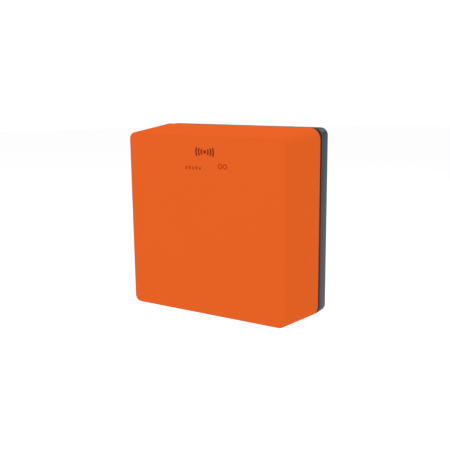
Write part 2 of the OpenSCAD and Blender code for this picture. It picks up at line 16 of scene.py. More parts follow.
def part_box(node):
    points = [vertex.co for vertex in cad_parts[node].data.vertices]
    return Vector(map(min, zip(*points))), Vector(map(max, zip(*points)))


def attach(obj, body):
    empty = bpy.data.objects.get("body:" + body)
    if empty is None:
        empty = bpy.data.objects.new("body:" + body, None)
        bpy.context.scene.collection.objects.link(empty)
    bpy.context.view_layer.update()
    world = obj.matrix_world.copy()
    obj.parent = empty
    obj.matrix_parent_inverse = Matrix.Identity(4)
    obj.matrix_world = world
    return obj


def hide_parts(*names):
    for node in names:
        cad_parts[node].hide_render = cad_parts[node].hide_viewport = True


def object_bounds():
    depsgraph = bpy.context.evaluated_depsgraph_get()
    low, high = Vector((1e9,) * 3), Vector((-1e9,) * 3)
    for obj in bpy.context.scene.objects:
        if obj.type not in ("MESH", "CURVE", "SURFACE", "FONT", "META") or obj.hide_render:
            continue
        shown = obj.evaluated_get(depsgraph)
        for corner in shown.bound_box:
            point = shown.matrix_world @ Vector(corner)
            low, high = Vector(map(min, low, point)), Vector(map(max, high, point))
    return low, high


bl_info = {
    "name": "Beacon Housing",
    "version": (1, 0, 0),
    "blender": (4, 5, 0),
    "location": "3D View > Sidebar > Beacon",
    "description": "Builds an emergency position beacon in its bulkhead housing",
    "category": "Object",
}

MM = 0.001
QUARTER = math.pi / 2
FULL_TURN = 2 * math.pi
X_AXIS, Y_AXIS, Z_AXIS = (1, 0, 0), (0, 1, 0), (0, 0, 1)

# Sizes that neither the frame nor a setting gives
FRONT_HALF = 100 * MM           # half the cover's width at its front face
INNER_CORNER = 5 * MM           # corner radius inside the cover, at the front
OPENING_CORNER = 7 * MM         # corner radius of the opening in the cover's rear flange
GASKET_PAST_OPENING = 10 * MM   # from that opening to the gasket's outer side
GASKET_STRIP = 9 * MM           # width of the gasket's strip
PRINT_PROUD = 0.06 * MM         # how far print stands proud of the cover
GROMMET_BORE = 2.7 * MM         # radius of a grommet's hole
BUTTON_COLLAR = 1.2 * MM        # width and thickness of the collar that keeps a button in

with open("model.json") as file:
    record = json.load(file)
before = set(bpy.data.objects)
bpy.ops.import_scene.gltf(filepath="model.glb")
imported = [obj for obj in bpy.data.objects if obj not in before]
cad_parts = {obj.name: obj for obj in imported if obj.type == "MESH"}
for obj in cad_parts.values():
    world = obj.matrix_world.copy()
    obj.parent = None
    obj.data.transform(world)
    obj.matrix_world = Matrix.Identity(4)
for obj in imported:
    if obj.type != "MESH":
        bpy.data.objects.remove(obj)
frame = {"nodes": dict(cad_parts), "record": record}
CAD_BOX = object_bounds()
NODE_BODY = {n: body for body, nodes in frame["record"]["behaviour"]["bodies"].items() for n in nodes}
NODE_SLOT = {s["node"]: s["material_slot"] for s in frame["record"]["subparts"]}


# ---------------------------------------------------------------- settings

def colour_property(name, description, default):
    return FloatVectorProperty(name=name, description=description, default=default, size=3, min=0, max=1,
                               subtype="COLOR")


def length_property(name, description, default):
    return FloatProperty(name=name, description=description, default=default, min=0, soft_max=1,
                         unit="LENGTH", precision=5)


class HousingSettings(bpy.types.PropertyGroup):
    cover_colour: colour_property("Cover", "Colour of the moulded cover", (0.706, 0.109, 0.0160))
    shell_colour: colour_property("Back shell", "Colour of the back shell", (0.040, 0.058, 0.080))
    fitting_colour: colour_property("Fittings", "Colour of hinges, latches and plug", (0.018, 0.019, 0.021))
    rubber_colour: colour_property("Rubber", "Colour of gaskets and pads", (0.006, 0.006, 0.007))
    mark_colour: colour_property("Mark", "Colour of the plain printed mark", (0.190, 0.018, 0.002))
    label_colour: colour_property("Label", "Colour of the plain printed bars and rings",
                                  (0.420, 0.046, 0.006))
    wall: length_property("Wall", "Thickness of the cover's walls", 3 * MM)
    rim_radius: length_property("Rim corner", "Corner radius at the cover's rim", 13 * MM)
    front_radius: length_property("Front corner", "Corner radius at the front face", 7.5 * MM)
    edge_radius: length_property("Front edge", "Rounding where the front meets the sides", 1.2 * MM)
    rim_edge: length_property("Rim edge", "Rounding along the cover's rear rim", 0.5 * MM)
    shell_edge: length_property("Shell edge", "Rounding along the back shell's edges", 0.9 * MM)
    corner_steps: IntProperty(name="Corner steps", description="Faces round each corner", default=14, min=3)


class BeaconSettings(bpy.types.PropertyGroup):
    body_colour: colour_property("Body", "Colour of the beacon's shells", (0.880, 0.420, 0.010))
    signal_colour: colour_property("Signal parts", "Colour of the slider and the live button",
                                   (0.620, 0.016, 0.010))
    test_colour: colour_property("Test button", "Colour of the test button", (0.70, 0.73, 0.75))
    cradle_colour: colour_property("Cradle", "Colour of the cradle", (0.030, 0.033, 0.037))
    body_edge: length_property("Body edge", "Rounding along the shells' edges", 1.6 * MM)
    dome_wall: length_property("Dome wall", "Thickness of the clear dome", 2 * MM)
    dome_flutes: IntProperty(name="Dome flutes", description="Light-spreading flutes inside the dome",
                             default=30, min=0)
    boot_ribs: IntProperty(name="Boot ribs", description="Ribs round the antenna boot", default=4, min=1)


class StageSettings(bpy.types.PropertyGroup):
    azimuth: FloatProperty(name="Azimuth", description="Camera's turn to the right of the front",
                           default=math.radians(32.44), subtype="ANGLE")
    elevation: FloatProperty(name="Elevation", description="Camera's height angle",
                             default=math.radians(11.66), subtype="ANGLE")
    roll: FloatProperty(name="Roll", description="Camera's roll", default=math.radians(-0.67),
                        subtype="ANGLE")
    distance: length_property("Distance", "From the camera to its aim", 0.822)
    lens: FloatProperty(name="Lens", description="Focal length", default=57.4, unit="CAMERA")
    aim_y: FloatProperty(name="Aim depth", description="Depth of the camera's aim", default=-0.0467,
                         unit="LENGTH")
    aim_z: FloatProperty(name="Aim height", description="Height of the camera's aim", default=-0.0058,
                         unit="LENGTH")
    floor_gap: length_property("Floor gap", "Height of the wall-held object over the floor", 0.32)
    floor_size: length_property("Floor size", "Half the floor's width", 8.0)
    sky: FloatProperty(name="Sky", description="Strength of the even studio light", default=1.02, min=0)
    gloss_sky: FloatProperty(name="Gloss sky", description="Strength of the studio in reflections",
                             default=0.30, min=0)
    key: FloatProperty(name="Key", description="Power of the large soft light overhead", default=6.0, min=0)
    fill: FloatProperty(name="Fill", description="Power of the soft front light", default=2.0, min=0)
    rim: FloatProperty(name="Rim", description="Power of the soft light behind and above", default=9.0, min=0)


# ---------------------------------------------------------------- shader effects

def effect_group(name, inputs, outputs):
    """A new shader node group with those sockets; returns the group, its input node and its output node."""
    group = bpy.data.node_groups.new(name, "ShaderNodeTree")
    for label, kind, value in inputs:
        socket = group.interface.new_socket(label, in_out="INPUT", socket_type=kind)
        socket.default_value = value
    for label, kind in outputs:
        group.interface.new_socket(label, in_out="OUTPUT", socket_type=kind)
    return group, group.nodes.new("NodeGroupInput"), group.nodes.new("NodeGroupOutput")


def add_math(tree, operation, a, b=None, clamp=False):
    """A Math node; a and b are sockets or numbers. Returns its output."""
    node = tree.nodes.new("ShaderNodeMath")
    node.operation = operation
    node.use_clamp = clamp
    for index, value in enumerate((a, b)):
        if value is None:
            continue
        if isinstance(value, bpy.types.NodeSocket):
            tree.links.new(value, node.inputs[index])
        else:
            node.inputs[index].default_value = value
    return node.outputs[0]


def add_noise(tree, vector, scale, detail=2.0, roughness=0.5):
    """A Noise Texture; scale is a socket or a number. Returns its value."""
    node = tree.nodes.new("ShaderNodeTexNoise")
    node.inputs["Detail"].default_value = detail
    node.inputs["Roughness"].default_value = roughness
    tree.links.new(vector, node.inputs["Vector"])
    if isinstance(scale, bpy.types.NodeSocket):
        tree.links.new(scale, node.inputs["Scale"])
    else:
        node.inputs["Scale"].default_value = scale
    return node.outputs["Fac"]


def object_coordinates(tree):
    """Where a point lies in its own piece, in metres."""
    return tree.nodes.new("ShaderNodeTexCoord").outputs["Object"]


def grain_group():
    """The fine even texture that a mould leaves."""
    group, start, end = effect_group(
        "Moulded grain", [("Size", "NodeSocketFloat", 0.0004), ("Relief", "NodeSocketFloat", 1.0)],
        [("Height", "NodeSocketFloat")])
    where = object_coordinates(group)
    scale = add_math(group, "DIVIDE", 1.0, start.outputs["Size"])
    fine = add_noise(group, where, scale, 3.0, 0.6)
    wide = add_noise(group, where, add_math(group, "MULTIPLY", scale, 0.12), 1.0)
    mixed = add_math(group, "ADD", add_math(group, "MULTIPLY", fine, 0.8),
                     add_math(group, "MULTIPLY", wide, 0.6))
    group.links.new(add_math(group, "MULTIPLY", mixed, start.outputs["Relief"]), end.inputs["Height"])
    return group


def drift_group():
    """Slow, slight changes of tone over a moulding."""
    group, start, end = effect_group(
        "Tone drift",
        [("Colour", "NodeSocketColor", (0.5, 0.5, 0.5, 1)), ("Spread", "NodeSocketFloat", 0.04),
         ("Size", "NodeSocketFloat", 0.03)],
        [("Colour", "NodeSocketColor"), ("Tone", "NodeSocketFloat")])
    where = object_coordinates(group)
    scale = add_math(group, "DIVIDE", 1.0, start.outputs["Size"])
    tone = add_noise(group, where, scale, 4.0, 0.55)
    swing = add_math(group, "MULTIPLY", add_math(group, "SUBTRACT", tone, 0.5), start.outputs["Spread"])
    value = add_math(group, "ADD", add_math(group, "MULTIPLY", swing, 2.0), 1.0)
    shade = group.nodes.new("ShaderNodeHueSaturation")
    group.links.new(start.outputs["Colour"], shade.inputs["Color"])
    group.links.new(value, shade.inputs["Value"])
    group.links.new(shade.outputs["Color"], end.inputs["Colour"])
    group.links.new(tone, end.inputs["Tone"])
    return group


def stretched_coordinates(group, start):
    """The piece's own coordinates times the effect's Stretch input."""
    scale = group.nodes.new("ShaderNodeVectorMath")
    scale.operation = "MULTIPLY"
    group.links.new(object_coordinates(group), scale.inputs[0])
    group.links.new(start.outputs["Stretch"], scale.inputs[1])
    return scale.outputs["Vector"]


def scratch_group():
    """Sparse hairline handling marks, as a mask."""
    group, start, end = effect_group(
        "Handling marks", [("Stretch", "NodeSocketVector", (1, 1, 1)), ("Amount", "NodeSocketFloat", 0.5)],
        [("Mask", "NodeSocketFloat")])
    lines = add_noise(group, stretched_coordinates(group, start), 260.0, 2.0, 0.7)
    edge = add_math(group, "SUBTRACT", lines, 0.64)
    sharp = add_math(group, "MULTIPLY", edge, 16.0, clamp=True)
    where = add_noise(group, object_coordinates(group), 22.0, 1.0)
    patch = add_math(group, "MULTIPLY", add_math(group, "SUBTRACT", where, 0.5), 6.0, clamp=True)
    worn = add_math(group, "MULTIPLY", sharp, patch)
    group.links.new(add_math(group, "MULTIPLY", worn, start.outputs["Amount"]), end.inputs["Mask"])
    return group


def brushed_group():
    """The long parallel lines of brushed metal."""
    group, start, end = effect_group(
        "Brushed lines", [("Stretch", "NodeSocketVector", (1, 1, 0.02)), ("Size", "NodeSocketFloat", 0.0003)],
        [("Height", "NodeSocketFloat"), ("Tone", "NodeSocketFloat")])
    size = add_math(group, "DIVIDE", 1.0, start.outputs["Size"])
    lines = add_noise(group, stretched_coordinates(group, start), size, 3.0, 0.65)
    group.links.new(lines, end.inputs["Height"])
    group.links.new(lines, end.inputs["Tone"])
    return group


def dust_group():
    """A trace of dust on what faces up, as a mask."""
    group, start, end = effect_group("Settled dust", [("Amount", "NodeSocketFloat", 0.3)],
                                     [("Mask", "NodeSocketFloat")])
    normal = group.nodes.new("ShaderNodeNewGeometry").outputs["Normal"]
    split = group.nodes.new("ShaderNodeSeparateXYZ")
    group.links.new(normal, split.inputs[0])
    up = add_math(group, "MULTIPLY", add_math(group, "SUBTRACT", split.outputs["Z"], 0.55), 2.2, clamp=True)
    specks = add_noise(group, object_coordinates(group), 240.0, 6.0, 0.7)
    lying = add_math(group, "MULTIPLY", up, specks)
    group.links.new(add_math(group, "MULTIPLY", lying, start.outputs["Amount"]), end.inputs["Mask"])
    return group


EFFECTS = {}


def place_effect(tree, key, **values):
    """Places a shared effect in a material, with its own values."""
    makers = {"grain": grain_group, "drift": drift_group, "scratches": scratch_group,
              "brushed": brushed_group, "dust": dust_group}
    if key not in EFFECTS:
        EFFECTS[key] = makers[key]()
    node = tree.nodes.new("ShaderNodeGroup")
    node.node_tree = EFFECTS[key]
    for label, value in values.items():
        node.inputs[label.capitalize()].default_value = value
    return node


def add_bump(tree, height, distance):
    """A Bump node at full strength; distance is the depth of the relief in metres."""
    bump = tree.nodes.new("ShaderNodeBump")
    bump.inputs["Distance"].default_value = distance
    bump.inputs["Strength"].default_value = 1.0
    tree.links.new(height, bump.inputs["Height"])
    return bump.outputs["Normal"]


def new_material(name, roughness, **sockets):
    """A material whose shader has constants in the named sockets. Returns material, tree and shader."""
    material = bpy.data.materials.new(name)
    material.use_nodes = True
    shader = material.node_tree.nodes["Principled BSDF"]
    shader.inputs["Roughness"].default_value = roughness
    for label, value in sockets.items():
        shader.inputs[label.replace("_", " ")].default_value = value
    return material, material.node_tree, shader


def link_shader(tree, shader, colour, roughness=None, normal=None):
    """Links a colour, and a roughness and a normal where there is one, to the shader."""
    for label, socket in (("Base Color", colour), ("Roughness", roughness), ("Normal", normal)):
        if socket is not None:
            tree.links.new(socket, shader.inputs[label])


def add_mix(tree, mask, a, b):
    """Mixes two colours by a mask; each is a socket or a colour."""
    mix = tree.nodes.new("ShaderNodeMix")
    mix.data_type = "RGBA"
    tree.links.new(mask, mix.inputs["Factor"])
    for label, value in (("A", a), ("B", b)):
        socket = [s for s in mix.inputs if s.name == label and s.type == "RGBA"][0]
        if isinstance(value, bpy.types.NodeSocket):
            tree.links.new(value, socket)
        else:
            socket.default_value = value
    return [s for s in mix.outputs if s.type == "RGBA"][0]


def roughness_from(tree, tone, middle, swing):
    """Roughness that follows a tone by a small swing about its middle."""
    return add_math(tree, "ADD", add_math(tree, "MULTIPLY", tone, swing), middle - swing / 2, clamp=True)


def moulded(name, colour, roughness, grain=0.0004, relief=0.00003, spread=0.03, drift_size=0.04, dust=0.15,
            scratches=0.3, **sockets):
    """Injection-moulded plastic: fine grain, slight drift of tone, hairline marks and a trace of dust."""
    material, tree, shader = new_material(name, roughness, **sockets)
    drift = place_effect(tree, "drift", colour=(*colour, 1), spread=spread, size=drift_size)
    marks = place_effect(tree, "scratches", stretch=(1, 1, 0.05), amount=scratches)
    lying = place_effect(tree, "dust", amount=dust)
    pale = tuple(min(1.0, c * 0.8 + 0.12) for c in colour)
    rubbed = add_mix(tree, marks.outputs["Mask"], drift.outputs["Colour"], (*pale, 1))
    dusty = add_mix(tree, lying.outputs["Mask"], rubbed, (0.45, 0.43, 0.40, 1))
    texture = place_effect(tree, "grain", size=grain, relief=1.0)
    link_shader(tree, shader, dusty, roughness_from(tree, drift.outputs["Tone"], roughness, 0.12),
                add_bump(tree, texture.outputs["Height"], relief))
    return material


# By slot: the material's name, its colour or the setting that holds it, its roughness, and the rest that
# moulded() takes
MOULDED = {
    "housing_orange": ("cover_orange", ("housing", "cover_colour"), 0.6, dict(
        grain=0.0008, relief=0.00005, spread=0.014, drift_size=0.09, dust=0.0, scratches=0.05,
        Specular_IOR_Level=0.0)),
    "housing_slate": ("shell_slate", ("housing", "shell_colour"), 0.42, dict(
        grain=0.0005, relief=0.00003, spread=0.03, dust=0.06, scratches=0.2, Specular_IOR_Level=0.12)),
    "black_rubber": ("seal_rubber", ("housing", "rubber_colour"), 0.72, dict(
        grain=0.0003, relief=0.00004, spread=0.08, dust=0.12, scratches=0.1, Specular_IOR_Level=0.35)),
    "black_fittings": ("fitting_black", ("housing", "fitting_colour"), 0.46, dict(
        grain=0.00028, relief=0.00004, spread=0.06, dust=0.14, scratches=0.35)),
    "cradle_plastic": ("cradle_grey", ("beacon", "cradle_colour"), 0.5, dict(
        grain=0.0006, relief=0.00006, spread=0.05, dust=0.2, scratches=0.3)),
    "beacon_yellow": ("beacon_yellow", ("beacon", "body_colour"), 0.34, dict(
        grain=0.0007, relief=0.00002, spread=0.02, dust=0.06, scratches=0.12, Coat_Weight=0.2,
        Coat_Roughness=0.2)),
    "signal_red": ("signal_red", ("beacon", "signal_colour"), 0.3, dict(
        grain=0.0005, relief=0.00002, spread=0.03, dust=0.06, scratches=0.2, Coat_Weight=0.3,
        Coat_Roughness=0.15)),
    "button_white": ("button_white", ("beacon", "test_colour"), 0.5, dict(
        grain=0.0003, relief=0.00003, spread=0.02, dust=0.08, scratches=0.1)),
    "silicone": ("silicone_grey", (0.36, 0.38, 0.40), 0.45, dict(
        grain=0.0004, relief=0.00002, spread=0.03, Subsurface_Weight=0.15)),
    "cell_wrap": ("cell_wrap", (0.030, 0.100, 0.330), 0.25, dict(
        grain=0.001, relief=0.00003, spread=0.05, Coat_Weight=0.4)),
    "ceramic_patch": ("patch_ceramic", (0.52, 0.44, 0.29), 0.6, dict(
        grain=0.0002, relief=0.00003, spread=0.06)),
}


def make_moulded(slot):
    """The moulded finish of a slot."""
    name, colour, roughness, extras = MOULDED[slot]
    if isinstance(colour[0], str):
        group, setting = colour
        colour = getattr(getattr(bpy.context.scene, group), setting)
    return moulded(name, colour, roughness, **extras)


def make_stainless():
    """Brushed stainless steel, with its lines along Z."""
    material, tree, shader = new_material("stainless", 0.3, Metallic=1.0)
    lines = place_effect(tree, "brushed", stretch=(1, 1, 0.03), size=0.00025)
    drift = place_effect(tree, "drift", colour=(0.60, 0.61, 0.62, 1), spread=0.05, size=0.02)
    dark = add_mix(tree, lines.outputs["Tone"], drift.outputs["Colour"], (0.46, 0.47, 0.49, 1))
    link_shader(tree, shader, dark, roughness_from(tree, lines.outputs["Tone"], 0.30, 0.25),
                add_bump(tree, lines.outputs["Height"], 0.000012))
    return material


def make_brass():
    """Turned brass with a faint tarnish."""
    material, tree, shader = new_material("contact_brass", 0.28, Metallic=1.0)
    drift = place_effect(tree, "drift", colour=(0.74, 0.50, 0.16, 1), spread=0.10, size=0.004)
    tarnish = add_mix(tree, drift.outputs["Tone"], drift.outputs["Colour"], (0.40, 0.25, 0.09, 1))
    link_shader(tree, shader, tarnish, roughness_from(tree, drift.outputs["Tone"], 0.30, 0.3))
    return material


def make_clear_lens():
    """Clear polycarbonate, with a barely visible flow texture."""
    material, tree, shader = new_material("clear_lens", 0.06, Transmission_Weight=1.0, IOR=1.49)
    drift = place_effect(tree, "drift", colour=(0.95, 0.97, 0.985, 1), spread=0.01, size=0.02)
    link_shader(tree, shader, drift.outputs["Colour"],
                roughness_from(tree, drift.outputs["Tone"], 0.07, 0.05))
    return material


def make_circuit_green():
    """Green solder mask with faint tracks."""
    material, tree, shader = new_material("circuit_green", 0.3, Coat_Weight=0.4)
    tracks = tree.nodes.new("ShaderNodeTexBrick")
    tracks.inputs["Scale"].default_value = 160.0
    tracks.inputs["Mortar Size"].default_value = 0.06
    tracks.inputs["Color1"].default_value = (0.010, 0.095, 0.035, 1)
    tracks.inputs["Color2"].default_value = (0.012, 0.110, 0.042, 1)
    tracks.inputs["Mortar"].default_value = (0.030, 0.190, 0.070, 1)
    tree.links.new(object_coordinates(tree), tracks.inputs["Vector"])
    link_shader(tree, shader, tracks.outputs["Color"], normal=add_bump(tree, tracks.outputs["Fac"], 0.00003))
    return material


def make_led_warm():
    """Phosphor-coated light emitters, unlit."""
    material, tree, shader = new_material("led_warm", 0.25, Coat_Weight=0.8)
    drift = place_effect(tree, "drift", colour=(0.90, 0.80, 0.42, 1), spread=0.10, size=0.003)
    link_shader(tree, shader, drift.outputs["Colour"])
    return material


def make_retro_tape():
    """Silver retroreflective tape with its honeycomb of cells."""
    material, tree, shader = new_material("retro_tape", 0.3, Metallic=0.35, Coat_Weight=0.5,
                                          Coat_Roughness=0.12)
    cells = tree.nodes.new("ShaderNodeTexVoronoi")
    cells.feature = "DISTANCE_TO_EDGE"
    cells.inputs["Scale"].default_value = 300.0
    cells.inputs["Randomness"].default_value = 0.1
    tree.links.new(object_coordinates(tree), cells.inputs["Vector"])
    inside = add_math(tree, "MULTIPLY", cells.outputs["Distance"], 12.0, clamp=True)
    weave = add_noise(tree, object_coordinates(tree), 2500.0, 2.0)
    silver = add_mix(tree, weave, (0.60, 0.62, 0.64, 1), (0.76, 0.78, 0.79, 1))
    colour = add_mix(tree, inside, (0.47, 0.49, 0.51, 1), silver)
    link_shader(tree, shader, colour, normal=add_bump(tree, inside, 0.00003))
    return material


def make_foam():
    """Closed-cell foam with fine open pores where it was cut."""
    material, tree, shader = new_material("foam_dark", 0.9, Specular_IOR_Level=0.2)
    cells = tree.nodes.new("ShaderNodeTexVoronoi")
    cells.inputs["Scale"].default_value = 900.0
    tree.links.new(object_coordinates(tree), cells.inputs["Vector"])
    drift = place_effect(tree, "drift", colour=(0.040, 0.043, 0.048, 1), spread=0.12, size=0.01)
    pore = add_math(tree, "MULTIPLY", cells.outputs["Distance"], 1.3, clamp=True)
    colour = add_mix(tree, pore, (0.015, 0.016, 0.018, 1), drift.outputs["Colour"])
    link_shader(tree, shader, colour, normal=add_bump(tree, cells.outputs["Distance"], 0.0003))
    return material


def make_ink(name, ink):
    """Pad-printed ink, slightly thin in places."""
    material, tree, shader = new_material(name, 0.55, Specular_IOR_Level=0.05)
    thin = add_math(tree, "MULTIPLY", add_noise(tree, object_coordinates(tree), 900.0, 3.0, 0.6), 0.15)
    ground = bpy.context.scene.housing.cover_colour
    link_shader(tree, shader, add_mix(tree, thin, (*ink, 1), (*ground, 1)))
    return material


def make_mark_ink():
    return make_ink("mark_ink", bpy.context.scene.housing.mark_colour)


def make_label_ink():
    return make_ink("label_ink", bpy.context.scene.housing.label_colour)


MATERIAL_MAKERS = {
    "foam": make_foam, "stainless": make_stainless, "clear_dome": make_clear_lens,
    "circuit_board": make_circuit_green, "led_lens": make_led_warm, "contact_brass": make_brass,
    "reflective_tape": make_retro_tape, "mark_ink": make_mark_ink, "label_ink": make_label_ink,
}
MATERIALS = {}


def material_for(slot):
    """The finish of a material slot or ink, made when it is first asked for."""
    if slot not in MATERIALS:
        MATERIALS[slot] = make_moulded(slot) if slot in MOULDED else MATERIAL_MAKERS[slot]()
    return MATERIALS[slot]


# ---------------------------------------------------------------- mesh helpers

def add_object(name, data):
    """An object with that mesh, light or camera, in the scene."""
    made = bpy.data.objects.new(name, data)
    bpy.context.scene.collection.objects.link(made)
    return made


def mesh_object(name, bm):
    """Turns a bmesh into an object."""
    mesh = bpy.data.meshes.new(name)
    bm.to_mesh(mesh)
    bm.free()
    return add_object(name, mesh)


def finish_piece(name, bm, nodes, sharp=35.0):
    """Turns a bmesh into a piece that stands for those CAD nodes, with their body and finish."""
    bmesh.ops.recalc_face_normals(bm, faces=bm.faces)
    piece = mesh_object(name, bm)
    piece.data.shade_smooth()
    piece.data.set_sharp_from_angle(angle=math.radians(sharp))
    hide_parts(*nodes)
    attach(piece, NODE_BODY[nodes[0]])
    set_finish(piece, NODE_SLOT[nodes[0]])
    return piece


def set_finish(piece, slot):
    """Gives a piece its material slot and that slot's finish."""
    piece.data.materials.clear()
    piece.data.materials.append(material_for(slot))


def skin(bm, a, b):
    """Joins two loops that have the same number of corners."""
    for i in range(len(a)):
        j = (i + 1) % len(a)
        bm.faces.new((a[i], a[j], b[j], b[i]))


def add_loft(bm, rings):
    """Skins rings that all have the same number of points, and closes both ends with one face each."""
    loops = [[bm.verts.new(point) for point in ring] for ring in rings]
    for a, b in zip(loops, loops[1:]):
        skin(bm, a, b)
    bm.faces.new(loops[0])
    bm.faces.new(loops[-1])


def add_closed_loft(bm, rings):
    """Skins rings and joins the last one to the first, which makes a tube that closes on itself."""
    loops = [[bm.verts.new(point) for point in ring] for ring in rings]
    for a, b in zip(loops, loops[1:] + loops[:1]):
        skin(bm, a, b)


def panel_ring(y, half_x, half_z, radius, steps, centre=(0, 0)):
    """A rounded rectangle in the XZ plane at depth y, as points."""
    points = []
    for quarter, (sx, sz) in enumerate(((1, 1), (-1, 1), (-1, -1), (1, -1))):
        x = centre[0] + sx * (half_x - radius)
        z = centre[1] + sz * (half_z - radius)
        for i in range(steps + 1):
            angle = QUARTER * (quarter + i / steps)
            points.append((x + radius * math.cos(angle), y, z + radius * math.sin(angle)))
    return points


def square_ring(y, half, radius, steps):
    """A rounded square in the XZ plane at depth y, as points."""
    return panel_ring(y, half, half, radius, steps)


def axes_for(axis):
    """A matrix whose Z column is that axis: a turned piece's own Z is laid along it."""
    return Vector(axis).to_track_quat("Z", "Y").to_matrix().to_4x4()


def add_lathe(bm, profile, centre, axis=Z_AXIS, steps=48, shape=None):
    """Turns (radius, height) points about an axis. shape(angle, radius, height) may change the radius."""
    place = Matrix.Translation(centre) @ axes_for(axis)
    rings = []
    for radius, height in profile:
        ring = []
        for i in range(steps):
            angle = FULL_TURN * i / steps
            reach = shape(angle, radius, height) if shape else radius
            ring.append(place @ Vector((reach * math.cos(angle), reach * math.sin(angle), height)))
        rings.append(ring)
    add_loft(bm, rings)


def arc_points(radius, start, end, steps, centre=(0, 0)):
    """Points on an arc in the plane, from one angle to another in degrees."""
    return [(centre[0] + radius * math.cos(math.radians(start + (end - start) * i / steps)),
             centre[1] + radius * math.sin(math.radians(start + (end - start) * i / steps)))
            for i in range(steps + 1)]


def circle_points(radius, count, centre=(0, 0)):
    """Points evenly round a circle in the plane."""
    return arc_points(radius, 0, 360 - 360 / count, count - 1, centre)


def islands(node):
    """The boxes of a CAD node's separate solids, as (lowest corner, highest corner)."""
    bm = bmesh.new()
    bm.from_mesh(frame["nodes"][node].data)
    bmesh.ops.remove_doubles(bm, verts=bm.verts, dist=1e-6)
    unseen = set(bm.verts)
    boxes = []
    while unseen:
        stack = [unseen.pop()]
        found = []
        while stack:
            vert = stack.pop()
            found.append(vert.co.copy())
            for edge in vert.link_edges:
                other = edge.other_vert(vert)
                if other in unseen:
                    unseen.remove(other)
                    stack.append(other)
        boxes.append((Vector(map(min, zip(*found))), Vector(map(max, zip(*found)))))
    bm.free()
    return sorted(boxes, key=lambda box: tuple(round(v, 4) for v in box[0]))


def add_refined(node, width, segments=2):
    """A finely edged version of a CAD node: the same faces, with every edge over 32 degrees rounded."""
    bm = bmesh.new()
    bm.from_mesh(frame["nodes"][node].data)
    bmesh.ops.remove_doubles(bm, verts=bm.verts, dist=2e-6)
    bmesh.ops.dissolve_limit(bm, angle_limit=math.radians(0.6), verts=bm.verts, edges=bm.edges)
    hard = [e for e in bm.edges if len(e.link_faces) == 2 and e.calc_face_angle() > math.radians(32.0)]
    bmesh.ops.bevel(bm, geom=hard, offset=width, offset_type="OFFSET", segments=segments, profile=0.5,
                    affect="EDGES", clamp_overlap=True)
    finish_piece(node + "_finished", bm, [node], sharp=28.0)


# ---------------------------------------------------------------- housing

def cover_half(y):
    """Half the cover's outer width at a depth, with its draft."""
    low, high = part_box("front_cover")
    return FRONT_HALF + (high.x - FRONT_HALF) * (y - low.y) / (high.y - low.y)


def rounded_edge(radius, steps):
    """(distance along, inset) of each step round an edge, from where the side ends to the face."""
    turns = [QUARTER * i / steps for i in range(steps + 1)]
    return [(radius * math.sin(turn), radius * (1 - math.cos(turn))) for turn in turns]


def build_front_cover():
    """The drafted cover: one hollow moulding with a rounded front edge and a turned-in rear flange."""
    settings = bpy.context.scene.housing
    low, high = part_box("front_cover")
    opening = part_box("cover_gasket")[1].x - GASKET_PAST_OPENING
    front, rim, wall, steps = low.y, high.y, settings.wall, settings.corner_steps
    depth = rim - front
    edge, rim_edge, inner_edge = settings.edge_radius, settings.rim_edge, 2 * MM
    inner_rim_corner = settings.rim_radius - wall
    soft, relief = 0.4 * MM, 1 * MM

    def corner(y):
        return settings.front_radius + (settings.rim_radius - settings.front_radius) * (y - front) / depth

    def inner_corner(y):
        return INNER_CORNER + (inner_rim_corner - INNER_CORNER) * (y - front - wall) / (depth - 2 * wall)

    rings = []
    for along, inset in reversed(rounded_edge(edge, 6)):
        y = front + edge - along
        rings.append(square_ring(y, cover_half(front + edge) - inset, corner(y) - inset * 0.6, steps))
    for i in range(1, 9):
        y = front + edge + (depth - edge - rim_edge) * i / 9
        rings.append(square_ring(y, cover_half(y), corner(y), steps))
    for along, inset in rounded_edge(rim_edge, 4):
        y = rim - rim_edge + along
        rings.append(square_ring(y, cover_half(rim) - inset, corner(y) - inset, steps))
    for y, out in ((rim, soft), (rim - soft, 0), (rim - wall + soft, 0), (rim - wall, soft)):
        rings.append(square_ring(y, opening + out, OPENING_CORNER + out, steps))
    inner_rim = cover_half(rim - wall) - wall
    rings.append(square_ring(rim - wall, inner_rim - relief, inner_rim_corner - relief, steps))
    rings.append(square_ring(rim - wall - relief, inner_rim, inner_rim_corner, steps))
    for i in range(1, 9):
        y = rim - wall - relief - (depth - 2 * wall - relief - inner_edge) * i / 9
        rings.append(square_ring(y, cover_half(y) - wall, inner_corner(y), steps))
    inner_front = cover_half(front + wall) - wall
    for along, inset in rounded_edge(inner_edge, 4):
        y = front + wall + inner_edge - along
        rings.append(square_ring(y, inner_front - inset, inner_corner(y) - inset * 0.5, steps))
    bm = bmesh.new()
    add_loft(bm, rings)
    add_cover_ribs(bm, front + wall, inner_front)
    finish_piece("cover_moulding", bm, ["front_cover"])


def add_cover_ribs(bm, inner_y, half):
    """Low stiffening ribs inside the cover, clear of the foam pad."""
    height = 2.2 * MM
    thick = 0.9 * MM
    sink = 0.6 * MM
    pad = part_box("cover_pad")[1].x + 5 * MM
    reach = half - 4 * MM
    for side in (-1, 1):
        for spot in (pad + 12 * MM, pad + 36 * MM):
            add_bar(bm, (side * spot, inner_y, 0), (thick, reach, height), sink)
    for z in (50 * MM, 75 * MM):
        add_bar(bm, (0, inner_y, z), (pad, thick, height), sink)


